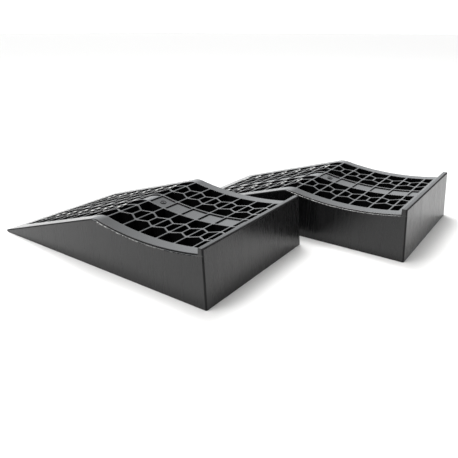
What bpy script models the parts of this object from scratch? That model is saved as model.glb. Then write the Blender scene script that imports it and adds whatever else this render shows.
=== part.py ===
"""Leveling block set: two identical one-piece moulded wheel ramps.

Each ramp is a wedge that climbs to a rounded crest, dips into a tyre cradle and
ends in a wall with a raised stop lip.  The top is an open lattice: straight ribs
across the ramp, a column of hexagons on each side and a plated channel down the
middle.  Lengths are in metres, +X runs from toe to end wall and +Z is up.
"""
import math

import bmesh
import bpy

MM = 0.001

# One ramp, outside
LENGTH = 400 * MM
WIDTH = 226 * MM
LIP_HEIGHT = 75 * MM
SIDE_DRAFT = 0.028  # inward lean of the side walls per unit of height
END_DRAFT = 0.077  # the same for the end wall

# Running surface: straight climb, rounded crest, round cradle
SLOPE_START = 3.1 * MM
SLOPE = 0.312
SLOPE_ANGLE = math.atan(SLOPE)
NOSE_RADIUS = SLOPE_START / (1 + math.sqrt(1 + SLOPE**2) - SLOPE)  # full round, tangent to the climb
CRADLE_RADIUS = 430 * MM
CRADLE_CENTRE_X = 308.5 * MM
CRADLE_FLOOR = 59.2 * MM
CREST_RADIUS = 40 * MM
CREST_STEPS = 6
NOSE_STEPS = 5

# Stop lip and the stepped ledge along the cradle's outer edges
LIP_INNER_X = 387 * MM
LEDGE_WIDTH = 2.6 * MM
LEDGE_DEPTH = 1.4 * MM
LEDGE_LEAD = 0.3 * MM  # how far above the crest the ledge's run-in starts

# Solid rim round the lattice
SIDE_BAND = 21.5 * MM
TOE_BAND = 23 * MM
END_BAND_X = 377.5 * MM

# Lattice
RIB_PITCH = 29 * MM
CREST_RIB_X = 219.6 * MM
RIBS_ON_SLOPE = 6
RIBS_ON_CRADLE = 5
WALL = 2.8 * MM
CHANNEL_WIDTH = 30 * MM
HEXAGON_SIDE = RIB_PITCH / math.sqrt(3)
HEXAGON_OFFSET = 38.8 * MM  # hexagon centre from the rim band's inner edge

# Channel plates, and the pockets that hollow the underside
PLATE_DEPTH = 1.5 * MM
PLATE_THICKNESS = 3 * MM
BAND_THICKNESS = 4 * MM
POCKET_OUTER_Y = 7 * MM
POCKET_INNER_WALL = 3 * MM
END_POCKET = (380.5 * MM, 391.5 * MM)

# Grip studs on the climb
STUD_SPREAD = 5.8 * MM  # each side of the hexagon column's centre
STUD_RADIUS = 2.8 * MM
STUD_TOP_RADIUS = 1.8 * MM
STUD_HEIGHT = 2.4 * MM
STUD_ROOT = 6 * MM
STUD_SIDES = 8

# How the pair stands: the rear ramp's offset from the front ramp
REAR_OFFSET_X = 144 * MM
REAR_OFFSET_Y = 253 * MM

OVERSHOOT = 6 * MM  # how far a cutter runs past the face it opens
PLASTIC_COLOR = (0.035, 0.036, 0.038, 1)


def crest_arc():
    """Centre of the crest's arc, tangent to the climb and to the cradle's circle."""
    cradle_z = CRADLE_FLOOR + CRADLE_RADIUS
    drop = CREST_RADIUS * math.sqrt(1 + SLOPE**2)
    # Centre on the line z = base + SLOPE * x, at radius sum from the cradle's centre
    base = SLOPE_START - drop
    reach = CRADLE_RADIUS + CREST_RADIUS
    a = 1 + SLOPE**2
    b = -2 * CRADLE_CENTRE_X + 2 * SLOPE * (base - cradle_z)
    c = CRADLE_CENTRE_X**2 + (base - cradle_z) ** 2 - reach**2
    x = (-b - math.sqrt(b * b - 4 * a * c)) / (2 * a)
    return x, base + SLOPE * x


CREST_X, CREST_Z = crest_arc()
CREST_START_X = CREST_X - CREST_RADIUS * math.sin(SLOPE_ANGLE)
CRADLE_START_X = CREST_X + CREST_RADIUS * (CRADLE_CENTRE_X - CREST_X) / (CRADLE_RADIUS + CREST_RADIUS)


def surface_height(x):
    """Height of the running surface at a distance x from the toe."""
    if x <= CREST_START_X:
        return SLOPE_START + SLOPE * x
    if x < CRADLE_START_X:
        return CREST_Z + math.sqrt(CREST_RADIUS**2 - (x - CREST_X) ** 2)
    sag = CRADLE_RADIUS - math.sqrt(CRADLE_RADIUS**2 - (x - CRADLE_CENTRE_X) ** 2)
    return CRADLE_FLOOR + sag


def surface_stations(start, end):
    """X stations that follow the running surface from start to end."""
    stations = {start, end}
    for step in range(CREST_STEPS + 1):
        stations.add(CREST_START_X + (CRADLE_START_X - CREST_START_X) * step / CREST_STEPS)
    for half in range(1, 2 * RIBS_ON_CRADLE + 3):
        stations.add(CREST_RIB_X + half * RIB_PITCH / 2)
    return sorted(x for x in stations if start <= x <= end)


def new_object(name, bm):
    """Turn a bmesh into an object with outward faces."""
    bmesh.ops.recalc_face_normals(bm, faces=bm.faces)
    mesh = bpy.data.meshes.new(name)
    bm.to_mesh(mesh)
    bm.free()
    obj = bpy.data.objects.new(name, mesh)
    bpy.context.scene.collection.objects.link(obj)
    return obj


def add_prism(bm, outline, bottom, top):
    """Add a closed upright prism over an outline of (x, y)."""
    lower = [bm.verts.new((x, y, bottom)) for x, y in outline]
    upper = [bm.verts.new((x, y, top)) for x, y in outline]
    bm.faces.new(reversed(lower))
    bm.faces.new(upper)
    count = len(outline)
    for i in range(count):
        j = (i + 1) % count
        bm.faces.new((lower[i], lower[j], upper[j], upper[i]))


def add_swept_box(bm, stations, low_y, high_y, bottom, top):
    """Add a closed box from station to station; each limit is a function of x."""
    rings = []
    for x in stations:
        corners = (
            (low_y(x), bottom(x)),
            (high_y(x), bottom(x)),
            (high_y(x), top(x)),
            (low_y(x), top(x)),
        )
        rings.append([bm.verts.new((x, y, z)) for y, z in corners])
    bm.faces.new(rings[0])
    bm.faces.new(reversed(rings[-1]))
    for first, second in zip(rings, rings[1:]):
        for i in range(4):
            j = (i + 1) % 4
            bm.faces.new((first[i], first[j], second[j], second[i]))


def level(value):
    """A sweep's limit that is the same all along."""
    return lambda x: value


def below_surface(depth):
    """A sweep's limit that follows the running surface, at a depth below it."""
    return lambda x: surface_height(x) - depth


def side_outline():
    """Side profile of the solid ramp as (x, z), from under the nose round to the end wall."""
    points = []
    for step in range(NOSE_STEPS + 1):
        angle = -math.pi / 2 - (math.pi - SLOPE_ANGLE) * step / NOSE_STEPS
        x = NOSE_RADIUS * (1 + math.cos(angle))
        z = NOSE_RADIUS * (1 + math.sin(angle))
        points.append((x, z))
    points += [(x, surface_height(x)) for x in surface_stations(CREST_START_X, LIP_INNER_X)]
    points.append((LIP_INNER_X, LIP_HEIGHT))
    points.append((LENGTH - END_DRAFT * LIP_HEIGHT, LIP_HEIGHT))
    points.append((LENGTH, 0))
    return points


def solid_ramp():
    """The ramp's outer form with leaning side walls, before anything is cut from it."""
    bm = bmesh.new()
    near = [bm.verts.new((x, SIDE_DRAFT * z, z)) for x, z in side_outline()]
    far = [bm.verts.new((x, WIDTH - SIDE_DRAFT * z, z)) for x, z in side_outline()]
    bm.faces.new(near)
    bm.faces.new(reversed(far))
    count = len(near)
    for i in range(count):
        j = (i + 1) % count
        bm.faces.new((near[i], far[i], far[j], near[j]))
    return new_object("solid_ramp", bm)


def near_ledge_edge(x):
    """Inner edge of the near ledge, which follows the leaning wall."""
    return SIDE_DRAFT * surface_height(x) + LEDGE_WIDTH


def far_ledge_edge(x):
    """Inner edge of the far ledge."""
    return WIDTH - near_ledge_edge(x)


def ledge_floor(x):
    """Height of the ledge, which comes down from nothing over the crest."""
    share = min(1, (x - CREST_START_X) / (CRADLE_START_X - CREST_START_X))
    return surface_height(x) + LEDGE_LEAD - (LEDGE_DEPTH + LEDGE_LEAD) * share


def ledge_cutter():
    """Strips that step the cradle's two outer edges down."""
    bm = bmesh.new()
    stations = surface_stations(CREST_START_X, LIP_INNER_X)
    roof = below_surface(-2 * OVERSHOOT)
    add_swept_box(bm, stations, level(-OVERSHOOT), near_ledge_edge, ledge_floor, roof)
    add_swept_box(bm, stations, far_ledge_edge, level(WIDTH + OVERSHOOT), ledge_floor, roof)
    return new_object("ledge_cutter", bm)


def inset(outline, distances):
    """Move each edge of a convex counter-clockwise outline inward by its own distance."""
    count = len(outline)
    lines = []
    for i in range(count):
        (x0, y0), (x1, y1) = outline[i], outline[(i + 1) % count]
        run = math.hypot(x1 - x0, y1 - y0)
        nx, ny = -(y1 - y0) / run, (x1 - x0) / run
        lines.append((nx, ny, nx * x0 + ny * y0 + distances[i]))
    corners = []
    for i in range(count):
        (a, b, c), (d, e, f) = lines[i - 1], lines[i]
        det = a * e - b * d
        corners.append(((c * e - b * f) / det, (a * f - c * d) / det))
    return corners


def clip(outline, low_x, high_x):
    """Keep the part of a convex outline between two values of x."""
    for limit, sign in ((low_x, 1), (high_x, -1)):
        kept = []
        for i, (x1, y1) in enumerate(outline):
            x0, y0 = outline[i - 1]
            inside0 = sign * (x0 - limit) >= 0
            inside1 = sign * (x1 - limit) >= 0
            if inside0 != inside1:
                kept.append((limit, y0 + (y1 - y0) * (limit - x0) / (x1 - x0)))
            if inside1:
                kept.append((x1, y1))
        outline = kept
    return outline


def row_starts():
    """X of the rib at the start of each lattice row, the two short end rows included."""
    first = -RIBS_ON_SLOPE - 1
    return [CREST_RIB_X + k * RIB_PITCH for k in range(first, RIBS_ON_CRADLE + 1)]


def row_cells(start):
    """Outlines of the through cells of one row, as (x, y) in the ramp's near half."""
    end = start + RIB_PITCH
    middle = start + RIB_PITCH / 2
    band = SIDE_BAND
    channel = (WIDTH - CHANNEL_WIDTH) / 2
    centre = band + HEXAGON_OFFSET
    side_near, side_far = centre - HEXAGON_SIDE, centre + HEXAGON_SIDE
    cross_near, cross_far = centre - HEXAGON_SIDE / 2, centre + HEXAGON_SIDE / 2
    half = WALL / 2
    near_pentagon = [(start, band), (end, band), (end, side_near), (middle, cross_near), (start, side_near)]
    far_pentagon = [(start, side_far), (middle, cross_far), (end, side_far), (end, channel), (start, channel)]
    lower_half = [(start, side_near), (middle, cross_near), (middle, cross_far), (start, side_far)]
    upper_half = [(middle, cross_near), (end, side_near), (end, side_far), (middle, cross_far)]
    cells = [
        inset(near_pentagon, (0, half, half, half, half)),
        inset(far_pentagon, (half, half, half, half, half)),
        inset(lower_half, (half, half, half, half)),
        inset(upper_half, (half, half, half, half)),
    ]
    clipped = [clip(cell, TOE_BAND, END_BAND_X) for cell in cells]
    return [cell for cell in clipped if len(cell) > 2]


def mirrored(outline):
    """The same outline in the ramp's far half."""
    return [(x, WIDTH - y) for x, y in reversed(outline)]


def lattice_cutter():
    """Everything that opens the ramp: through cells, channel recesses and pockets below."""
    bm = bmesh.new()
    half = WALL / 2
    channel = ((WIDTH - CHANNEL_WIDTH) / 2, (WIDTH + CHANNEL_WIDTH) / 2)
    channel_sides = (level(channel[0] + half), level(channel[1] - half))
    inner_y = SIDE_BAND - POCKET_INNER_WALL
    near_pocket_sides = (level(POCKET_OUTER_Y), level(inner_y))
    far_pocket_sides = (level(WIDTH - inner_y), level(WIDTH - POCKET_OUTER_Y))
    plate_top = below_surface(PLATE_DEPTH)
    plate_bottom = below_surface(PLATE_DEPTH + PLATE_THICKNESS)
    band_bottom = below_surface(BAND_THICKNESS)
    under = level(-OVERSHOOT)
    for start in row_starts():
        for cell in row_cells(start):
            add_prism(bm, cell, -OVERSHOOT, LIP_HEIGHT + OVERSHOOT)
            add_prism(bm, mirrored(cell), -OVERSHOOT, LIP_HEIGHT + OVERSHOOT)
        low = max(start + half, TOE_BAND)
        high = min(start + RIB_PITCH - half, END_BAND_X)
        stations = surface_stations(low, high)
        add_swept_box(bm, stations, *channel_sides, plate_top, below_surface(-OVERSHOOT))
        add_swept_box(bm, stations, *channel_sides, under, plate_bottom)
        add_swept_box(bm, stations, *near_pocket_sides, under, band_bottom)
        add_swept_box(bm, stations, *far_pocket_sides, under, band_bottom)
    bays = (SIDE_BAND, *channel, WIDTH - SIDE_BAND)
    end_roof = level(surface_height(END_BAND_X) - BAND_THICKNESS)
    for low_y, high_y in zip(bays, bays[1:]):
        add_swept_box(bm, END_POCKET, level(low_y + half), level(high_y - half), under, end_roof)
    return new_object("lattice_cutter", bm)


def add_stud(bm, x, y):
    """Add one stud, square to the climb at the top and rooted inside the lattice walls."""
    surface = surface_height(x)
    root = -min(STUD_ROOT, surface / 2)
    rings = []
    for radius, rise in ((STUD_RADIUS, root), (STUD_RADIUS, STUD_HEIGHT / 3), (STUD_TOP_RADIUS, STUD_HEIGHT)):
        ring = []
        for side in range(STUD_SIDES):
            angle = 2 * math.pi * (side + 0.5) / STUD_SIDES
            along = radius * math.cos(angle)
            across = radius * math.sin(angle)
            ring.append(bm.verts.new((x + along, y + across, surface + rise + SLOPE * along)))
        rings.append(ring)
    bm.faces.new(reversed(rings[0]))
    bm.faces.new(rings[-1])
    for first, second in zip(rings, rings[1:]):
        for i in range(STUD_SIDES):
            j = (i + 1) % STUD_SIDES
            bm.faces.new((first[i], first[j], second[j], second[i]))


def grip_studs():
    """Low round studs at the lattice's inner corners, on the climb only."""
    bm = bmesh.new()
    centre = SIDE_BAND + HEXAGON_OFFSET
    for step in range(RIBS_ON_SLOPE + 1):
        x = CREST_RIB_X - (step + 0.5) * RIB_PITCH
        for y in (centre - STUD_SPREAD, centre + STUD_SPREAD):
            add_stud(bm, x, y)
            add_stud(bm, x, WIDTH - y)
    return new_object("grip_studs", bm)


def apply_boolean(obj, operation, other):
    """Combine obj with another object and remove the other."""
    modifier = obj.modifiers.new(operation.lower(), "BOOLEAN")
    modifier.operation = operation
    modifier.solver = "EXACT"
    modifier.object = other
    evaluated = obj.evaluated_get(bpy.context.evaluated_depsgraph_get())
    mesh = bpy.data.meshes.new_from_object(evaluated)
    obj.modifiers.clear()
    obj.data = mesh
    bpy.data.objects.remove(other, do_unlink=True)


def plastic():
    """Black moulded polypropylene with a soft sheen."""
    material = bpy.data.materials.new("black_plastic")
    material.use_nodes = True
    shader = material.node_tree.nodes["Principled BSDF"]
    shader.inputs["Base Color"].default_value = PLASTIC_COLOR
    shader.inputs["Roughness"].default_value = 0.45
    shader.inputs["Metallic"].default_value = 0
    material.diffuse_color = PLASTIC_COLOR
    return material


def finished_ramp_mesh():
    """One ramp's mesh: the solid form stepped, opened up and studded."""
    ramp = solid_ramp()
    apply_boolean(ramp, "DIFFERENCE", ledge_cutter())
    apply_boolean(ramp, "DIFFERENCE", lattice_cutter())
    apply_boolean(ramp, "UNION", grip_studs())
    mesh = ramp.data
    bpy.data.objects.remove(ramp, do_unlink=True)
    mesh.name = "ramp"
    return mesh


def place_ramp(name, mesh, x, y):
    """Stand one ramp of the pair with its toe corner at x, y."""
    obj = bpy.data.objects.new(name, mesh)
    bpy.context.scene.collection.objects.link(obj)
    obj.location = (x, y, 0)
    return obj


def main():
    for obj in list(bpy.data.objects):
        bpy.data.objects.remove(obj, do_unlink=True)
    mesh = finished_ramp_mesh()
    mesh.materials.clear()
    mesh.materials.append(plastic())
    # The set's origin is under the middle of the pair's overall box
    left = -(LENGTH + REAR_OFFSET_X) / 2
    near = -(WIDTH + REAR_OFFSET_Y) / 2
    place_ramp("front_ramp", mesh, left, near)
    place_ramp("rear_ramp", mesh, left + REAR_OFFSET_X, near + REAR_OFFSET_Y)


main()
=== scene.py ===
import math

import bmesh
import bpy
from mathutils import Matrix, Vector
from mathutils.geometry import delaunay_2d_cdt


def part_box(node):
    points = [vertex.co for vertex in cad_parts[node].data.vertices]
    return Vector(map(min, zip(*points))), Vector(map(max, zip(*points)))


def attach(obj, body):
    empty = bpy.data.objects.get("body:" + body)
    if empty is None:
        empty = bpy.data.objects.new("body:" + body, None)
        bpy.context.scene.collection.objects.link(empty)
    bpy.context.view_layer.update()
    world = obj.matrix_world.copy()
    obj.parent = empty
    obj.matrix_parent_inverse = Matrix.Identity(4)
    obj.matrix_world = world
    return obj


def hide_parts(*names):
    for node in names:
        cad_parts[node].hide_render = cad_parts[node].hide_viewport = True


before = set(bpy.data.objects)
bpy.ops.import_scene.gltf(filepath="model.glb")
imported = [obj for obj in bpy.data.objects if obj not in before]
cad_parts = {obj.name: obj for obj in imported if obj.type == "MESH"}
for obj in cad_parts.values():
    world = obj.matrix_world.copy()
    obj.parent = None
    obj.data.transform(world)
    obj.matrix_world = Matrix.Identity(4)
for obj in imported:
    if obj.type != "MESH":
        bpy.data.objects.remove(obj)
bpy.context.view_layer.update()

MM = 0.001

# ---------------------------------------------------------------- sizes, as in the CAD model
FRONT_LOW, FRONT_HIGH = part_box("front_ramp")
LENGTH = FRONT_HIGH.x - FRONT_LOW.x
WIDTH = FRONT_HIGH.y - FRONT_LOW.y
LIP_HEIGHT = FRONT_HIGH.z - FRONT_LOW.z
SIDE_DRAFT = 0.028
END_DRAFT = 0.077

SLOPE_START = 3.1 * MM
SLOPE = 0.312
SLOPE_ANGLE = math.atan(SLOPE)
NOSE_RADIUS = SLOPE_START / (1 + math.sqrt(1 + SLOPE**2) - SLOPE)
CRADLE_RADIUS = 430 * MM
CRADLE_CENTRE_X = 308.5 * MM
CRADLE_FLOOR = 59.2 * MM
CREST_RADIUS = 40 * MM

LIP_INNER_X = 387 * MM
LEDGE_WIDTH = 2.6 * MM
LEDGE_DEPTH = 1.4 * MM
LEDGE_LEAD = 0.3 * MM

SIDE_BAND = 21.5 * MM
TOE_BAND = 23 * MM
END_BAND_X = 377.5 * MM

RIB_PITCH = 29 * MM
CREST_RIB_X = 219.6 * MM
RIBS_ON_SLOPE = 6
RIBS_ON_CRADLE = 5
WALL = 2.8 * MM
CHANNEL_WIDTH = 30 * MM
HEXAGON_SIDE = RIB_PITCH / math.sqrt(3)
HEXAGON_OFFSET = 38.8 * MM

PLATE_DEPTH = 1.5 * MM
PLATE_THICKNESS = 3 * MM
BAND_THICKNESS = 4 * MM
POCKET_OUTER_Y = 7 * MM
POCKET_INNER_WALL = 3 * MM
END_POCKET = (380.5 * MM, 391.5 * MM)

STUD_SPREAD = 5.8 * MM
STUD_RADIUS = 2.8 * MM
STUD_HEIGHT = 2.4 * MM
STUD_ROOT = 6 * MM  # how far a stud reaches down into the lattice, where that is deep enough

GATE_RADIUS = 4.6 * MM  # the gate mark is on this finer mesh only
GATE_HEIGHT = 0.9 * MM
GATE_ROOT = 1 * MM

# ---------------------------------------------------------------- fineness of the mesh
NOSE_STEPS = 9
CREST_STEPS = 10
CRADLE_STEP = RIB_PITCH / 6
STATION_GAP = 0.4 * MM  # no two stations along the surface are closer than this
RIB_ROUNDING = 0.55 * MM  # radius along the lattice's top edges
ROUNDING_STEPS = 3
CELL_CORNER = 1.3 * MM  # radius of the cells' upright corners
CORNER_STEPS = 3
CELL_DRAFT = 0.35 * MM  # how much a cell narrows towards the floor, per side
WALL_CORNER = 2.2 * MM  # upright corners of the end wall
WALL_CORNER_STEPS = 4
EDGE_ROUNDING = 1 * MM  # all the other outer edges that stand clear of the ground
EDGE_STEPS = 3
SKIN_MARGIN = 1.5 * MM  # how far the lattice skin reaches into the rim
SINK_DEPTH = 0.09 * MM  # sink marks on the side walls, where the ribs meet them inside
SINK_HALF_WIDTH = 2.2 * MM
OVERSHOOT = 6 * MM  # how far a cutter reaches past the form
TURNED_SIDES = 16
STUD_STEPS = 5
OUTER_EDGE_ANGLE = math.radians(32)  # an outer edge sharper than this is rounded
CREASE_ANGLE = math.radians(42)  # an edge sharper than this is shaded as a crease
MERGE = 0.002 * MM  # points closer than this are one point
SEAM_REACH = 0.02 * MM  # how far apart the two sides of an open seam may lie

# ---------------------------------------------------------------- material's look
BLACK = (0.0050, 0.0051, 0.0056, 1)
# grey for real scuffs on the running surface and for the painted highlight along convex edges
SCUFF_AND_SHEEN_GREY = (0.022, 0.022, 0.022, 1)
PAINTED_GLINT = (0.5, 0.5, 0.49, 1)  # the studs' tips and the ledge's rim, coloured pale as painted highlights (glints)
WALL_ROUGHNESS = 0.25
WALL_VARIATION = 0.04
TOP_ROUGHNESS = 0.2
TOP_VARIATION = 0.03
EDGE_ROUGHNESS = 0.95
DULL_EDGE = 1.4 * MM  # how far the dull strip reaches from an outer edge
GLINT_FADE = 60 * MM  # how far each side of the cradle's lowest point the ledge's painted highlight line fades
EVEN = (1, 1, 1)  # noise of the same scale in every direction
GRAIN_RELIEF = 0.01 * MM
STREAK_RELIEF = 0.03 * MM

# ---------------------------------------------------------------- studio
FLOOR_HALF_SIZE = 30
FLOOR_DROP = 0.2 * MM  # keeps the floor clear of the ramps' undersides
FLOOR_WHITE = (0.86, 0.86, 0.86, 1)

SCREEN_SIDE = (-0.74, 0.67, 0)  # the direction that the bright screen stands in
SCREEN_SPREAD = (0.5, 0.9)  # cosines of the angles from it where the screen begins and is full
SCREEN_RISE = (0.02, 0.3)  # heights between which the screen goes from its low to its high brightness
SCREEN_LOW = 1.3
SCREEN_HIGH = 1.6
WORLD_BASE = 0.15
WORLD_TINT = (0.955, 0.98, 1, 1)

CEILING_SIDE = (-0.8, 0, 3)
CEILING_STRENGTH = 2.7
CEILING_ANGLE = math.radians(60)
CEILING_TINT = (1, 0.99, 0.975)
SOFTBOX_SIZE = 1
SOFTBOXES = (  # name, location, power
    ("near_side", (-1.0, -1.5, 2.2), 20),
    ("far_side", (-0.9, 0.8, 2.7), 40),
)

CAMERA_PLACE = (0.41999, -0.60476, 0.29611)
CAMERA_YAW = math.radians(125.525)
CAMERA_PITCH = math.radians(22.668)  # below the horizon
LENS = 37.77
SENSOR = 36


# ---------------------------------------------------------------- running surface
def crest_arc():
    """Centre of the crest's arc, tangent to the climb and to the cradle's circle."""
    cradle_z = CRADLE_FLOOR + CRADLE_RADIUS
    base = SLOPE_START - CREST_RADIUS * math.sqrt(1 + SLOPE**2)
    reach = CRADLE_RADIUS + CREST_RADIUS
    a = 1 + SLOPE**2
    b = -2 * CRADLE_CENTRE_X + 2 * SLOPE * (base - cradle_z)
    c = CRADLE_CENTRE_X**2 + (base - cradle_z) ** 2 - reach**2
    x = (-b - math.sqrt(b * b - 4 * a * c)) / (2 * a)
    return x, base + SLOPE * x


CREST_X, CREST_Z = crest_arc()
CREST_START_X = CREST_X - CREST_RADIUS * math.sin(SLOPE_ANGLE)
CREST_SHARE = CREST_RADIUS / (CRADLE_RADIUS + CREST_RADIUS)
CRADLE_START_X = CREST_X + CREST_SHARE * (CRADLE_CENTRE_X - CREST_X)
SKIN_LOW = Vector((TOE_BAND - SKIN_MARGIN, SIDE_BAND - SKIN_MARGIN))
SKIN_HIGH = Vector((END_BAND_X + SKIN_MARGIN, WIDTH - SIDE_BAND + SKIN_MARGIN))


def surface_height(x):
    """Height of the running surface at a distance x from the toe."""
    if x <= CREST_START_X:
        return SLOPE_START + SLOPE * x
    if x < CRADLE_START_X:
        return CREST_Z + math.sqrt(CREST_RADIUS**2 - (x - CREST_X) ** 2)
    sag = CRADLE_RADIUS - math.sqrt(CRADLE_RADIUS**2 - (x - CRADLE_CENTRE_X) ** 2)
    return CRADLE_FLOOR + sag


def surface_stations(start, end):
    """X stations that follow the running surface from start to end."""
    skin_ends = (SKIN_LOW.x, SKIN_HIGH.x)
    crest_run = CRADLE_START_X - CREST_START_X
    candidates = list(skin_ends)
    candidates += [CREST_START_X + crest_run * i / CREST_STEPS for i in range(CREST_STEPS + 1)]
    x = CRADLE_START_X + CRADLE_STEP
    while x < LIP_INNER_X:
        candidates.append(x)
        x += CRADLE_STEP
    stations = [start]
    for x in sorted(candidates):
        inside = start + STATION_GAP < x < end - STATION_GAP
        clear = x in skin_ends or all(abs(x - k) > STATION_GAP for k in skin_ends)
        if inside and clear:
            stations.append(x)
    return stations + [end]


# ---------------------------------------------------------------- small mesh helpers
def new_object(name, bm):
    """Turn a bmesh into an object with outward faces."""
    bmesh.ops.recalc_face_normals(bm, faces=bm.faces)
    mesh = bpy.data.meshes.new(name)
    bm.to_mesh(mesh)
    bm.free()
    obj = bpy.data.objects.new(name, mesh)
    bpy.context.scene.collection.objects.link(obj)
    return obj


def add_swept_box(bm, stations, low_y, high_y, bottom, top):
    """Add a closed box from station to station; each limit is a function of x."""
    rings = []
    for x in stations:
        corners = (
            (low_y(x), bottom(x)),
            (high_y(x), bottom(x)),
            (high_y(x), top(x)),
            (low_y(x), top(x)),
        )
        rings.append([bm.verts.new((x, y, z)) for y, z in corners])
    bm.faces.new(rings[0])
    bm.faces.new(reversed(rings[-1]))
    for first, second in zip(rings, rings[1:]):
        for i in range(4):
            j = (i + 1) % 4
            bm.faces.new((first[i], first[j], second[j], second[i]))


def level(value):
    """A sweep's limit that is the same all along."""
    return lambda x: value


def below_surface(depth):
    """A sweep's limit that follows the running surface, at a depth below it."""
    return lambda x: surface_height(x) - depth


def bisect_faces(bm, faces, point, normal):
    """Split the given faces along a plane."""
    edges = dict.fromkeys(e for f in faces for e in f.edges)
    verts = dict.fromkeys(v for f in faces for v in f.verts)
    geometry = [*verts, *edges, *faces]
    bmesh.ops.bisect_plane(bm, geom=geometry, dist=MERGE, plane_co=point, plane_no=normal)


def bevel(bm, edges, offset, segments):
    """Round the given edges, however short their neighbours are."""
    bmesh.ops.bevel(bm, geom=edges, offset=offset, segments=segments, profile=0.5,
                    affect="EDGES", clamp_overlap=False)


def cut(obj, cutter):
    """Subtract a closed object from obj and remove it."""
    modifier = obj.modifiers.new("cut", "BOOLEAN")
    modifier.operation = "DIFFERENCE"
    modifier.solver = "EXACT"
    modifier.object = cutter
    evaluated = obj.evaluated_get(bpy.context.evaluated_depsgraph_get())
    mesh = bpy.data.meshes.new_from_object(evaluated)
    obj.modifiers.clear()
    obj.data = mesh
    bpy.data.objects.remove(cutter, do_unlink=True)


# ---------------------------------------------------------------- outer form
def side_outline():
    """Side profile of the solid ramp as (x, z), from under the nose round to the end wall."""
    points = []
    for step in range(NOSE_STEPS + 1):
        angle = -math.pi / 2 - (math.pi - SLOPE_ANGLE) * step / NOSE_STEPS
        points.append((NOSE_RADIUS * (1 + math.cos(angle)), NOSE_RADIUS * (1 + math.sin(angle))))
    points += [(x, surface_height(x)) for x in surface_stations(points[-1][0], LIP_INNER_X)[1:]]
    points.append((LIP_INNER_X, LIP_HEIGHT))
    points.append((LENGTH - END_DRAFT * LIP_HEIGHT, LIP_HEIGHT))
    points.append((LENGTH, 0))
    return points


def solid_ramp():
    """The ramp's outer form with leaning side walls, before anything is cut from it."""
    bm = bmesh.new()
    outline = side_outline()
    near = [bm.verts.new((x, SIDE_DRAFT * z, z)) for x, z in outline]
    far = [bm.verts.new((x, WIDTH - SIDE_DRAFT * z, z)) for x, z in outline]
    bm.faces.new(near)
    bm.faces.new(reversed(far))
    count = len(near)
    for i in range(count):
        j = (i + 1) % count
        bm.faces.new((near[i], far[i], far[j], near[j]))
    return new_object("ramp_form", bm)


def near_ledge_edge(x):
    """Inner edge of the near ledge, which follows the leaning wall."""
    return SIDE_DRAFT * surface_height(x) + LEDGE_WIDTH


def far_ledge_edge(x):
    """Inner edge of the far ledge."""
    return WIDTH - near_ledge_edge(x)


def ledge_floor(x):
    """Height of the ledge, which comes down from nothing over the crest."""
    share = min(1, (x - CREST_START_X) / (CRADLE_START_X - CREST_START_X))
    return surface_height(x) + LEDGE_LEAD - (LEDGE_DEPTH + LEDGE_LEAD) * share


def ledge_cutter():
    """Strips that step the cradle's two outer edges down."""
    bm = bmesh.new()
    stations = surface_stations(CREST_START_X, LIP_INNER_X)
    roof = below_surface(-2 * OVERSHOOT)
    add_swept_box(bm, stations, level(-OVERSHOOT), near_ledge_edge, ledge_floor, roof)
    add_swept_box(bm, stations, far_ledge_edge, level(WIDTH + OVERSHOOT), ledge_floor, roof)
    return new_object("ledge_cutter", bm)


def row_starts():
    """X of the rib at the start of each lattice row, the two short end rows included."""
    first = -RIBS_ON_SLOPE - 1
    return [CREST_RIB_X + k * RIB_PITCH for k in range(first, RIBS_ON_CRADLE + 1)]


def row_limits(start):
    """Clear span in x between the ribs of one row."""
    return max(start + WALL / 2, TOE_BAND), min(start + RIB_PITCH - WALL / 2, END_BAND_X)


def pocket_cutter():
    """Pockets that hollow the rim from below."""
    bm = bmesh.new()
    inner_y = SIDE_BAND - POCKET_INNER_WALL
    under, roof = level(-OVERSHOOT), below_surface(BAND_THICKNESS)
    for start in row_starts():
        stations = surface_stations(*row_limits(start))
        add_swept_box(bm, stations, level(POCKET_OUTER_Y), level(inner_y), under, roof)
        add_swept_box(bm, stations, level(WIDTH - inner_y), level(WIDTH - POCKET_OUTER_Y), under, roof)
    bays = (SIDE_BAND, (WIDTH - CHANNEL_WIDTH) / 2, (WIDTH + CHANNEL_WIDTH) / 2, WIDTH - SIDE_BAND)
    end_roof = level(surface_height(END_BAND_X) - BAND_THICKNESS)
    for low_y, high_y in zip(bays, bays[1:]):
        add_swept_box(bm, END_POCKET, level(low_y + WALL / 2), level(high_y - WALL / 2), under, end_roof)
    return new_object("pocket_cutter", bm)


def is_wall_corner(edge):
    """True for a long upright edge where the end wall meets a side wall."""
    start, end = (vert.co for vert in edge.verts)
    rise = abs(end.z - start.z)
    at_end = (start.x + end.x) / 2 > LENGTH - END_DRAFT * LIP_HEIGHT
    return at_end and rise > 0.9 * (end - start).length and rise > LIP_HEIGHT / 2


def is_outer_edge(edge):
    """True for a sharp outward edge above the ground."""
    if len(edge.link_faces) != 2 or max(v.co.z for v in edge.verts) < MERGE:
        return False
    return edge.is_convex and edge.calc_face_angle() > OUTER_EDGE_ANGLE


def round_edges(obj):
    """Round the end wall's upright corners widely and every other sharp edge finely."""
    bm = bmesh.new()
    bm.from_mesh(obj.data)
    bmesh.ops.remove_doubles(bm, verts=bm.verts, dist=MERGE)
    bmesh.ops.dissolve_degenerate(bm, edges=bm.edges, dist=MERGE)
    bevel(bm, [e for e in bm.edges if is_wall_corner(e)], WALL_CORNER, WALL_CORNER_STEPS)
    bevel(bm, [e for e in bm.edges if is_outer_edge(e)], EDGE_ROUNDING, EDGE_STEPS)
    bm.to_mesh(obj.data)
    bm.free()


def is_side_wall(face):
    """True for a face of a side wall, its small edge roundings left out."""
    return abs(face.normal.y) > 0.98 and face.calc_area() > 20 * MM**2


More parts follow.
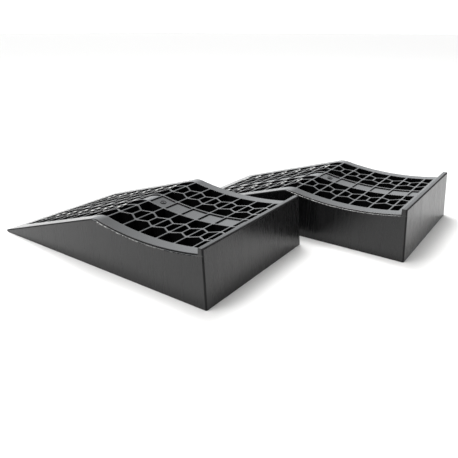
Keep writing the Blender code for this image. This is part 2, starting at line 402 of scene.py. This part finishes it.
def sink_side_walls(bm):
    """Draw the side walls in very slightly where the ribs meet them inside."""
    for start in row_starts()[1:]:
        for shift in (-SINK_HALF_WIDTH, 0, SINK_HALF_WIDTH):
            walls = [f for f in bm.faces if is_side_wall(f)]
            bisect_faces(bm, walls, (start + shift, 0, 0), (1, 0, 0))
        for vert in bm.verts:
            on_rib = abs(vert.co.x - start) < 5 * MERGE
            from_side = min(vert.co.y, WIDTH - vert.co.y) - SIDE_DRAFT * vert.co.z
            if on_rib and from_side < SINK_DEPTH / 2:
                vert.co.y += math.copysign(SINK_DEPTH, WIDTH / 2 - vert.co.y)


# ---------------------------------------------------------------- lattice skin
def offset_outline(outline, distances):
    """Move each edge of a convex counter-clockwise outline inward by its own distance."""
    count = len(outline)
    lines = []
    for i in range(count):
        (x0, y0), (x1, y1) = outline[i], outline[(i + 1) % count]
        run = math.hypot(x1 - x0, y1 - y0)
        nx, ny = -(y1 - y0) / run, (x1 - x0) / run
        lines.append((nx, ny, nx * x0 + ny * y0 + distances[i]))
    corners = []
    for i in range(count):
        (a, b, c), (d, e, f) = lines[i - 1], lines[i]
        det = a * e - b * d
        corners.append(((c * e - b * f) / det, (a * f - c * d) / det))
    return corners


def clip(outline, low_x, high_x):
    """Keep the part of a convex outline between two values of x."""
    for limit, sign in ((low_x, 1), (high_x, -1)):
        kept = []
        for i, (x1, y1) in enumerate(outline):
            x0, y0 = outline[i - 1]
            inside0 = sign * (x0 - limit) >= 0
            inside1 = sign * (x1 - limit) >= 0
            if inside0 != inside1:
                kept.append((limit, y0 + (y1 - y0) * (limit - x0) / (x1 - x0)))
            if inside1:
                kept.append((x1, y1))
        outline = kept
    return outline


def row_cells(start):
    """Outlines of the through cells of one row, as (x, y) in the ramp's near half."""
    end = start + RIB_PITCH
    middle = start + RIB_PITCH / 2
    band = SIDE_BAND
    channel = (WIDTH - CHANNEL_WIDTH) / 2
    centre = band + HEXAGON_OFFSET
    side_near, side_far = centre - HEXAGON_SIDE, centre + HEXAGON_SIDE
    cross_near, cross_far = centre - HEXAGON_SIDE / 2, centre + HEXAGON_SIDE / 2
    half = WALL / 2
    near_pentagon = [(start, band), (end, band), (end, side_near), (middle, cross_near), (start, side_near)]
    far_pentagon = [(start, side_far), (middle, cross_far), (end, side_far), (end, channel), (start, channel)]
    lower_half = [(start, side_near), (middle, cross_near), (middle, cross_far), (start, side_far)]
    upper_half = [(middle, cross_near), (end, side_near), (end, side_far), (middle, cross_far)]
    cells = [
        offset_outline(near_pentagon, (0, half, half, half, half)),
        offset_outline(far_pentagon, (half, half, half, half, half)),
        offset_outline(lower_half, (half, half, half, half)),
        offset_outline(upper_half, (half, half, half, half)),
    ]
    clipped = [clip(cell, TOE_BAND, END_BAND_X) for cell in cells]
    return [cell for cell in clipped if len(cell) > 2]


def mirrored(outline):
    """The same outline in the ramp's far half."""
    return [(x, WIDTH - y) for x, y in reversed(outline)]


def channel_outline(start):
    """Outline of one row's channel recess."""
    low, high = row_limits(start)
    near = (WIDTH - CHANNEL_WIDTH) / 2 + WALL / 2
    far = WIDTH - near
    return [(low, near), (high, near), (high, far), (low, far)]


def rounded(outline, radius):
    """Round a convex outline's corners; returns points as 2-D vectors."""
    points = []
    count = len(outline)
    for i in range(count):
        corner = Vector(outline[i])
        before = Vector(outline[i - 1]) - corner
        after = Vector(outline[(i + 1) % count]) - corner
        half_angle = before.angle(after) / 2
        reach = min(radius / math.tan(half_angle), 0.45 * before.length, 0.45 * after.length)
        actual = reach * math.tan(half_angle)
        bisector = (before.normalized() + after.normalized()).normalized()
        centre = corner + bisector * (actual / math.sin(half_angle))
        first = corner + before.normalized() * reach - centre
        last = corner + after.normalized() * reach - centre
        sweep = first.angle_signed(last)
        for step in range(CORNER_STEPS + 1):
            turn = Matrix.Rotation(-sweep * step / CORNER_STEPS, 2)
            points.append(centre + turn @ first)
    return points


def lattice_holes():
    """Every opening's wall outline with whether it is a plated recess."""
    holes = []
    for start in row_starts():
        for cell in row_cells(start):
            holes.append((cell, False))
            holes.append((mirrored(cell), False))
        holes.append((channel_outline(start), True))
    return holes


def triangulated_skin():
    """Plan triangulation of the lattice area: points, solid faces and each hole's faces."""
    stations = surface_stations(SKIN_LOW.x, SKIN_HIGH.x)
    points = [Vector((x, SKIN_LOW.y)) for x in stations]
    points += [Vector((x, SKIN_HIGH.y)) for x in reversed(stations)]
    count = len(points)
    faces = [list(range(count))]
    edges = [(i, count - 1 - i) for i in range(1, len(stations) - 1)]
    holes = lattice_holes()
    for outline, _ in holes:
        mouth = offset_outline(outline, [-RIB_ROUNDING] * len(outline))
        ring = rounded(mouth, CELL_CORNER + RIB_ROUNDING)
        faces.append(list(range(len(points), len(points) + len(ring))))
        points += ring
    within_faces = 1  # the code for triangles inside the given faces only
    coords, _, tris, _, _, origins = delaunay_2d_cdt(points, edges, faces, within_faces, 1e-7, True)
    solid = []
    inside = [[] for _ in holes]
    for tri, origin in zip(tris, origins):
        owners = [k - 1 for k in origin if k > 0]
        if owners:
            inside[owners[0]].append(tri)
        elif 0 in origin:
            solid.append(tri)
    return coords, solid, inside, [plated for _, plated in holes]


def boundary_loop(tris):
    """The ordered outer loop of a patch of counter-clockwise triangles."""
    following = {}
    pairs = {(t[i], t[(i + 1) % len(t)]) for t in tris for i in range(len(t))}
    for a, b in pairs:
        if (b, a) not in pairs:
            following[a] = b
    start = min(following)
    loop = [start]
    while following[loop[-1]] != start:
        loop.append(following[loop[-1]])
    return loop


def inward_normals(coords, loop):
    """Directions into a hole at each point of its loop, longer where the loop bends.

    The loop runs counter-clockwise.  Moving its points by a distance times these directions
    moves each of its edges in by that distance.
    """
    normals = []
    count = len(loop)
    for i in range(count):
        before = (coords[loop[i]] - coords[loop[i - 1]]).normalized()
        after = (coords[loop[(i + 1) % count]] - coords[loop[i]]).normalized()
        tangent = (before + after).normalized()
        stretch = 1 / max(0.5, tangent.dot(after))
        normals.append(Vector((-tangent.y, tangent.x)) * stretch)
    return normals


def bridge(bm, upper, lower):
    """Faces between two rings of the same length."""
    count = len(upper)
    for i in range(count):
        j = (i + 1) % count
        bm.faces.new((upper[i], upper[j], lower[j], lower[i]))


def add_mouth(bm, coords, loop, normals, ring):
    """Add a hole's rounded mouth below its top ring; returns the mouth's lowest ring."""
    for step in range(1, ROUNDING_STEPS + 1):
        angle = math.pi / 2 * step / ROUNDING_STEPS
        reach = RIB_ROUNDING * math.sin(angle)
        drop = RIB_ROUNDING * (1 - math.cos(angle))
        lower = []
        for k, normal in zip(loop, normals):
            point = coords[k] + normal * reach
            lower.append(bm.verts.new((*point, surface_height(coords[k].x) - drop)))
        bridge(bm, ring, lower)
        ring = lower
    return ring


def add_cell_wall(bm, coords, loop, normals, mouth):
    """Add a through cell's wall, which draws in downwards; returns the ring at the floor."""
    reach = RIB_ROUNDING + CELL_DRAFT
    floor_ring = []
    for k, normal in zip(loop, normals):
        point = coords[k] + normal * reach
        floor_ring.append(bm.verts.new((*point, 0)))
    bridge(bm, mouth, floor_ring)
    return floor_ring


def add_plate(bm, coords, tris, loop, normals, mouth):
    """Add a recess's plate with the open pocket under it; returns the ring at the floor."""
    upper = {}
    under = {}
    floor_ring = []
    for k, normal in zip(loop, normals):
        point = coords[k] + normal * RIB_ROUNDING
        height = surface_height(coords[k].x) - PLATE_DEPTH
        upper[k] = bm.verts.new((*point, height))
        under[k] = bm.verts.new((*point, height - PLATE_THICKNESS))
        floor_ring.append(bm.verts.new((*point, 0)))
    for tri in tris:
        for k in tri:
            if k not in upper:
                height = surface_height(coords[k].x) - PLATE_DEPTH
                upper[k] = bm.verts.new((*coords[k], height))
                under[k] = bm.verts.new((*coords[k], height - PLATE_THICKNESS))
        bm.faces.new([upper[k] for k in tri])
        bm.faces.new([under[k] for k in reversed(tri)])
    bridge(bm, mouth, [upper[k] for k in loop])
    bridge(bm, [under[k] for k in loop], floor_ring)
    return floor_ring


def add_lattice(bm):
    """Add the lattice: top skin, rounded mouths, cell walls, plates and underside."""
    coords, solid, inside, plated = triangulated_skin()
    top = {}
    for tri in solid:
        for k in tri:
            if k not in top:
                top[k] = bm.verts.new((*coords[k], surface_height(coords[k].x)))
    bottom = {}
    for tris, is_plated in zip(inside, plated):
        loop = boundary_loop(tris)
        normals = inward_normals(coords, loop)
        mouth = add_mouth(bm, coords, loop, normals, [top[k] for k in loop])
        if is_plated:
            floor_ring = add_plate(bm, coords, tris, loop, normals, mouth)
        else:
            floor_ring = add_cell_wall(bm, coords, loop, normals, mouth)
        bottom.update(zip(loop, floor_ring))
    for k in top:
        if k not in bottom:
            bottom[k] = bm.verts.new((*coords[k], 0))
    for tri in solid:
        bm.faces.new([top[k] for k in tri])
        bm.faces.new([bottom[k] for k in reversed(tri)])


def is_level(face):
    """True for a face of the running surface or the underside."""
    return abs(face.normal.z) > 0.5


def open_for_lattice(bm):
    """Take the top and bottom faces out of the solid form where the lattice goes."""
    planes = (
        ((SKIN_LOW.x, 0, 0), (1, 0, 0)),
        ((SKIN_HIGH.x, 0, 0), (1, 0, 0)),
        ((0, SKIN_LOW.y, 0), (0, 1, 0)),
        ((0, SKIN_HIGH.y, 0), (0, 1, 0)),
    )
    for point, normal in planes:
        bisect_faces(bm, [f for f in bm.faces if is_level(f)], point, normal)
    covered = []
    for face in bm.faces:
        centre = face.calc_center_median()
        within_x = SKIN_LOW.x < centre.x < SKIN_HIGH.x
        within_y = SKIN_LOW.y < centre.y < SKIN_HIGH.y
        if is_level(face) and within_x and within_y:
            covered.append(face)
    bmesh.ops.delete(bm, geom=covered, context="FACES")


def close_seams(bm):
    """Split every open edge at the open points that lie on it, then join what meets."""
    open_edges = [e for e in bm.edges if e.is_boundary]
    open_points = {v for e in open_edges for v in e.verts}
    splits = []
    for edge in open_edges:
        start, end = edge.verts
        run = end.co - start.co
        shares = []
        for point in open_points - {start, end}:
            share = (point.co - start.co).dot(run) / run.length_squared
            off_line = (point.co - start.co - run * share).length
            clear = min(share, 1 - share) * run.length > 2 * MERGE
            if clear and off_line < SEAM_REACH:
                shares.append(share)
        if shares:
            splits.append((edge, start, sorted(set(shares))))
    for edge, start, shares in splits:
        done = 0
        for share in shares:
            if share - done > 1e-4:
                _, start = bmesh.utils.edge_split(edge, start, (share - done) / (1 - done))
                done = share
    bmesh.ops.remove_doubles(bm, verts=bm.verts, dist=2 * MERGE)
    still_open = {v for e in bm.edges if e.is_boundary for v in e.verts}
    bmesh.ops.remove_doubles(bm, verts=list(still_open), dist=SEAM_REACH)


# ---------------------------------------------------------------- studs and gate marks
def add_turned(bm, x, y, base, slope, profile):
    """Add a closed turned body; its profile runs from the outer root to a tip on the axis."""
    rings = []
    for radius, rise in profile[:-1]:
        ring = []
        for side in range(TURNED_SIDES):
            angle = 2 * math.pi * side / TURNED_SIDES
            along, across = radius * math.cos(angle), radius * math.sin(angle)
            ring.append(bm.verts.new((x + along, y + across, base + rise + slope * along)))
        rings.append(ring)
    tip = bm.verts.new((x, y, base + profile[-1][1]))
    bm.faces.new(reversed(rings[0]))
    for i in range(TURNED_SIDES):
        bm.faces.new((rings[-1][i], rings[-1][(i + 1) % TURNED_SIDES], tip))
    for lower, upper in zip(rings, rings[1:]):
        for i in range(TURNED_SIDES):
            j = (i + 1) % TURNED_SIDES
            bm.faces.new((lower[i], lower[j], upper[j], upper[i]))


def add_stud(bm, x, y):
    """Add one grip stud: a short round post with a domed top, rooted in the lattice."""
    surface = surface_height(x)
    shoulder = 0.25 * STUD_HEIGHT
    dome = STUD_HEIGHT - shoulder
    profile = [(STUD_RADIUS, -min(STUD_ROOT, surface / 2)), (STUD_RADIUS, shoulder)]
    for step in range(1, STUD_STEPS + 1):
        angle = math.pi / 2 * step / STUD_STEPS
        profile.append((STUD_RADIUS * math.cos(angle), shoulder + dome * math.sin(angle)))
    add_turned(bm, x, y, surface, SLOPE, profile)


def add_studs(bm):
    """All the grip studs of one ramp."""
    centre = SIDE_BAND + HEXAGON_OFFSET
    for step in range(RIBS_ON_SLOPE + 1):
        x = CREST_RIB_X - (step + 0.5) * RIB_PITCH
        for y in (centre - STUD_SPREAD, centre + STUD_SPREAD):
            add_stud(bm, x, y)
            add_stud(bm, x, WIDTH - y)


def add_gate_mark(bm):
    """Add a small round mark in the middle of the first plate behind the crest."""
    x = CREST_RIB_X + RIB_PITCH / 2
    plate = surface_height(x) - PLATE_DEPTH
    slope = (surface_height(x + MM) - surface_height(x - MM)) / (2 * MM)
    shares = ((1, 0.6), (0.93, 1), (0.8, 1), (0.7, 0.2), (0.2, 0.2), (0.12, 1), (0, 1))
    profile = [(GATE_RADIUS, -GATE_ROOT)]
    profile += [(GATE_RADIUS * out, GATE_HEIGHT * up) for out, up in shares]
    add_turned(bm, x, WIDTH / 2, plate, slope, profile)


# ---------------------------------------------------------------- one ramp
def ramp_mesh():
    """The fine mesh of one ramp."""
    form = solid_ramp()
    cut(form, ledge_cutter())
    round_edges(form)
    cut(form, pocket_cutter())
    bm = bmesh.new()
    bm.from_mesh(form.data)
    bmesh.ops.remove_doubles(bm, verts=bm.verts, dist=MERGE)
    open_for_lattice(bm)
    sink_side_walls(bm)
    add_lattice(bm)
    bmesh.ops.remove_doubles(bm, verts=bm.verts, dist=2 * MERGE)
    close_seams(bm)
    bmesh.ops.recalc_face_normals(bm, faces=bm.faces)
    add_studs(bm)
    add_gate_mark(bm)
    mesh = bpy.data.meshes.new("ramp_moulding")
    bm.to_mesh(mesh)
    bm.free()
    bpy.data.objects.remove(form, do_unlink=True)
    return mesh


# ---------------------------------------------------------------- material
class Nodes:
    """Short calls for building a material's node tree."""

    def __init__(self, tree):
        self.tree = tree

    def add(self, kind, **settings):
        """Add a node and set its properties."""
        node = self.tree.nodes.new(kind)
        for key, value in settings.items():
            setattr(node, key, value)
        return node

    def feed(self, socket, value):
        """Link a socket to an output, or set it to a plain value."""
        if isinstance(value, bpy.types.NodeSocket):
            self.tree.links.new(value, socket)
        else:
            socket.default_value = value

    def math(self, operation, first, second=0.0):
        """Arithmetic on one or two values."""
        node = self.add("ShaderNodeMath", operation=operation)
        self.feed(node.inputs[0], first)
        self.feed(node.inputs[1], second)
        return node.outputs[0]

    def map(self, value, low, high, to_low=0.0, to_high=1.0):
        """Map a value from one range to another, clamped and eased."""
        node = self.add("ShaderNodeMapRange", interpolation_type="SMOOTHSTEP")
        for name, item in (("Value", value), ("From Min", low), ("From Max", high),
                           ("To Min", to_low), ("To Max", to_high)):
            self.feed(node.inputs[name], item)
        return node.outputs["Result"]

    def mix(self, kind, factor, first, second):
        """Blend two values or colours."""
        node = self.add("ShaderNodeMix", data_type=kind)
        sockets = [i for i in node.inputs if i.enabled]
        for socket, item in zip(sockets, (factor, first, second)):
            self.feed(socket, item)
        return next(o for o in node.outputs if o.enabled)

    def split(self, vector):
        """The three parts of a vector."""
        node = self.add("ShaderNodeSeparateXYZ")
        self.feed(node.inputs[0], vector)
        return node.outputs

    def noise(self, coords, stretch, scale, detail=2.0, roughness=0.5):
        """Noise in coordinates that are multiplied by stretch, then by scale."""
        mapping = self.add("ShaderNodeMapping")
        self.feed(mapping.inputs["Vector"], coords)
        mapping.inputs["Scale"].default_value = stretch
        node = self.add("ShaderNodeTexNoise")
        self.feed(node.inputs["Vector"], mapping.outputs["Vector"])
        node.inputs["Scale"].default_value = scale
        node.inputs["Detail"].default_value = detail
        node.inputs["Roughness"].default_value = roughness
        return node.outputs["Fac"]

    def bump(self, height, distance, strength, normal=None):
        """A bump layer on top of an earlier one."""
        node = self.add("ShaderNodeBump")
        self.feed(node.inputs["Height"], height)
        node.inputs["Distance"].default_value = distance
        self.feed(node.inputs["Strength"], strength)
        if normal is not None:
            self.feed(node.inputs["Normal"], normal)
        return node.outputs["Normal"]


def moulded_plastic():
    """Black moulded polypropylene: smooth on top, streaked down the walls, with a few scuffs, and painted
    highlights along its convex edges, the studs' tips and the ledge's rim.
    """
    material = bpy.data.materials.new("moulded_plastic")
    material.use_nodes = True
    shader = material.node_tree.nodes["Principled BSDF"]
    nodes = Nodes(material.node_tree)
    texture = nodes.add("ShaderNodeTexCoord")
    point = texture.outputs["Object"]
    on_top = nodes.map(nodes.split(texture.outputs["Normal"])["Z"], 0.45, 0.9)
    on_wall = nodes.math("SUBTRACT", 1.0, on_top)

    clouds = nodes.noise(point, EVEN, 16, 3)
    grain = nodes.noise(point, EVEN, 1300, 2)
    streaks = nodes.noise(point, (1, 1, 0.012), 420, 3, 0.65)
    broad_streaks = nodes.noise(point, (1, 1, 0.03), 90, 2)
    scuffs = nodes.map(nodes.noise(point, EVEN, 60, 6, 0.7), 0.58, 0.74)
    # painted highlight: convex edges are lightened where pointiness is high, standing in for the light they
    # catch
    painted_edge_sheen = nodes.map(nodes.add("ShaderNodeNewGeometry").outputs["Pointiness"], 0.53, 0.62)
    # painted highlights: the studs' tips and the ledge's rim are coloured pale to stand in for glints
    painted_glints = nodes.math("MAXIMUM", stud_tip_glints(nodes, point), ledge_rim_glint(nodes, point))
    dull_edge = dull_edges(nodes, point)

    # Colour: deep black, a little greyer where it is scuffed on top and along convex edges as a painted
    # highlight, pale at the studs' tips and along the ledge's rim as painted glints
    scuff_and_edge_sheen = nodes.math("MAXIMUM", nodes.math("MULTIPLY", scuffs, on_top), nodes.math("MULTIPLY", painted_edge_sheen, 0.6))
    scuffed_and_sheened = nodes.mix("RGBA", nodes.math("MULTIPLY", scuff_and_edge_sheen, 0.7), BLACK, SCUFF_AND_SHEEN_GREY)
    nodes.feed(shader.inputs["Base Color"], nodes.mix("RGBA", painted_glints, scuffed_and_sheened, PAINTED_GLINT))

    # Roughness: sheen on the running surface, streaks down the walls, dull edges
    spread = nodes.math("MULTIPLY", nodes.math("ADD", streaks, broad_streaks), 0.5)
    wall_range = (WALL_ROUGHNESS - WALL_VARIATION, WALL_ROUGHNESS + WALL_VARIATION)
    top_range = (TOP_ROUGHNESS - TOP_VARIATION, TOP_ROUGHNESS + TOP_VARIATION)
    wall_roughness = nodes.map(spread, 0.35, 0.65, *wall_range)
    top_roughness = nodes.map(clouds, 0.3, 0.7, *top_range)
    smooth = nodes.mix("FLOAT", on_top, wall_roughness, top_roughness)
    dulled = nodes.math("ADD", smooth, nodes.math("MULTIPLY", scuff_and_edge_sheen, 0.08))
    nodes.feed(shader.inputs["Roughness"], nodes.mix("FLOAT", dull_edge, dulled, EDGE_ROUGHNESS))

    # Relief: fine grain everywhere, faint upright lines on the walls
    relief = nodes.bump(grain, GRAIN_RELIEF, 0.5)
    relief = nodes.bump(streaks, STREAK_RELIEF, nodes.math("MULTIPLY", on_wall, 0.15), relief)
    nodes.feed(shader.inputs["Normal"], relief)
    return material


def above_climb(nodes, position):
    """Height above the climb's plane, which the cradle and the lip lie far below."""
    climb = nodes.math("ADD", nodes.math("MULTIPLY", position["X"], SLOPE), SLOPE_START)
    return nodes.math("SUBTRACT", position["Z"], climb)


def near_edge(nodes, first, second, full, none):
    """Mask that is 1 where both distances are under full and 0 where either is over none."""
    return nodes.map(nodes.math("MAXIMUM", first, second), full, none, 1, 0)


def stud_tip_glints(nodes, point):
    """Mask of what stands above the climb, the studs' tips, which are painted pale there as glints."""
    rise = above_climb(nodes, nodes.split(point))
    return nodes.map(rise, 0.2 * STUD_HEIGHT, 0.6 * STUD_HEIGHT)


def in_from_side(nodes, position):
    """Distance in from the nearer side wall's leaning face."""
    from_middle = nodes.math("ABSOLUTE", nodes.math("SUBTRACT", position["Y"], WIDTH / 2))
    lean = nodes.math("MULTIPLY", position["Z"], SIDE_DRAFT)
    return nodes.math("SUBTRACT", nodes.math("SUBTRACT", WIDTH / 2, from_middle), lean)


def ledge_rim_glint(nodes, point):
    """Mask of a broken painted highlight line along the ledges' outer rims, which fades towards the end wall.
    """
    position = nodes.split(point)
    from_axis = nodes.add("ShaderNodeCombineXYZ")
    nodes.feed(from_axis.inputs["X"], nodes.math("SUBTRACT", position["X"], CRADLE_CENTRE_X))
    nodes.feed(from_axis.inputs["Z"], nodes.math("SUBTRACT", position["Z"], CRADLE_FLOOR + CRADLE_RADIUS))
    reach = nodes.add("ShaderNodeVectorMath", operation="LENGTH")
    nodes.feed(reach.inputs[0], from_axis.outputs[0])
    depth = nodes.math("SUBTRACT", reach.outputs["Value"], CRADLE_RADIUS)
    off_ledge = nodes.math("ABSOLUTE", nodes.math("SUBTRACT", depth, LEDGE_DEPTH))
    rim = near_edge(nodes, in_from_side(nodes, position), off_ledge, EDGE_ROUNDING / 2, EDGE_ROUNDING)
    breaks = nodes.map(nodes.noise(point, EVEN, 260, 2), 0.42, 0.6, 0.02, 0.6)
    fading = nodes.map(position["X"], CRADLE_CENTRE_X - GLINT_FADE, CRADLE_CENTRE_X + GLINT_FADE, 1, 0.2)
    return nodes.math("MULTIPLY", nodes.math("MULTIPLY", rim, breaks), fading)


def dull_edges(nodes, point):
    """Mask of the end wall's upright corners and top edge and of the climb's side edges."""
    position = nodes.split(point)
    from_side = in_from_side(nodes, position)
    end_lean = nodes.math("MULTIPLY", position["Z"], END_DRAFT)
    from_end = nodes.math("SUBTRACT", nodes.math("SUBTRACT", LENGTH, position["X"]), end_lean)
    from_climb = nodes.math("ABSOLUTE", above_climb(nodes, position))
    from_lip = nodes.math("SUBTRACT", LIP_HEIGHT, position["Z"])
    corner = near_edge(nodes, from_side, from_end, 0.6 * WALL_CORNER, 1.1 * WALL_CORNER)
    climb_edge = near_edge(nodes, from_side, from_climb, DULL_EDGE, 1.3 * DULL_EDGE)
    lip_edge = near_edge(nodes, from_end, from_lip, DULL_EDGE, 1.3 * DULL_EDGE)
    return nodes.math("MAXIMUM", corner, nodes.math("MAXIMUM", climb_edge, lip_edge))


def put_ramp(name, mesh, node):
    """Put the fine moulding where its CAD node stands, to ride the node's body."""
    obj = bpy.data.objects.new(name, mesh)
    bpy.context.scene.collection.objects.link(obj)
    obj.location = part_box(node)[0]
    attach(obj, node)
    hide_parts(node)
    weighted = obj.modifiers.new("weighted_normals", "WEIGHTED_NORMAL")
    weighted.keep_sharp = True


def finish_shading(mesh):
    """Smooth shading that keeps true corners sharp."""
    mesh.shade_smooth()
    mesh.set_sharp_from_angle(angle=CREASE_ANGLE)


moulding = ramp_mesh()
finish_shading(moulding)
moulding.materials.append(moulded_plastic())
put_ramp("front_moulding", moulding, "front_ramp")
put_ramp("rear_moulding", moulding, "rear_ramp")


# ---------------------------------------------------------------- floor, light and camera
def make_floor():
    """A plain white floor."""
    bm = bmesh.new()
    bmesh.ops.create_grid(bm, x_segments=1, y_segments=1, size=FLOOR_HALF_SIZE)
    floor = new_object("floor", bm)
    floor.location.z = -FLOOR_DROP
    material = bpy.data.materials.new("floor_white")
    material.use_nodes = True
    shader = material.node_tree.nodes["Principled BSDF"]
    shader.inputs["Base Color"].default_value = FLOOR_WHITE
    shader.inputs["Roughness"].default_value = 0.9
    floor.data.materials.append(material)


def make_world():
    """Surroundings with a wide bright screen behind the ramps and little light elsewhere."""
    world = bpy.data.worlds.new("studio")
    bpy.context.scene.world = world
    world.use_nodes = True
    nodes = Nodes(world.node_tree)
    direction = nodes.add("ShaderNodeTexCoord").outputs["Generated"]
    behind = nodes.add("ShaderNodeVectorMath", operation="DOT_PRODUCT")
    nodes.feed(behind.inputs[0], direction)
    behind.inputs[1].default_value = SCREEN_SIDE
    screen = nodes.map(behind.outputs["Value"], *SCREEN_SPREAD)
    brightness = nodes.map(nodes.split(direction)["Z"], *SCREEN_RISE, SCREEN_LOW, SCREEN_HIGH)
    glow = nodes.math("MULTIPLY", screen, brightness)
    background = world.node_tree.nodes["Background"]
    background.inputs["Color"].default_value = WORLD_TINT
    nodes.feed(background.inputs["Strength"], nodes.math("ADD", glow, WORLD_BASE))


def aimed(name, data, location, aim):
    """Put a light or a camera in the scene, looking along aim."""
    obj = bpy.data.objects.new(name, data)
    bpy.context.scene.collection.objects.link(obj)
    obj.location = location
    obj.rotation_mode = "QUATERNION"
    obj.rotation_quaternion = aim.to_track_quat("-Z", "Y")
    return obj


def make_lights():
    """A wide ceiling light from the left and two soft ones that keep the floor white."""
    ceiling = bpy.data.lights.new("ceiling", "SUN")
    ceiling.energy = CEILING_STRENGTH
    ceiling.angle = CEILING_ANGLE
    ceiling.color = CEILING_TINT
    aimed("ceiling", ceiling, CEILING_SIDE, -Vector(CEILING_SIDE))
    for name, location, power in SOFTBOXES:
        softbox = bpy.data.lights.new(name, "AREA")
        softbox.size = SOFTBOX_SIZE
        softbox.energy = power
        aimed(name, softbox, location, -Vector(location))


def make_camera():
    """A three-quarter view from the front right, a little above the lip."""
    data = bpy.data.cameras.new("camera")
    data.sensor_width = SENSOR
    data.lens = LENS
    level_run = math.cos(CAMERA_PITCH)
    aim = Vector((
        math.cos(CAMERA_YAW) * level_run,
        math.sin(CAMERA_YAW) * level_run,
        -math.sin(CAMERA_PITCH),
    ))
    bpy.context.scene.camera = aimed("camera", data, CAMERA_PLACE, aim)


make_floor()
make_world()
make_lights()
make_camera()
bpy.context.scene.view_settings.view_transform = "Standard"
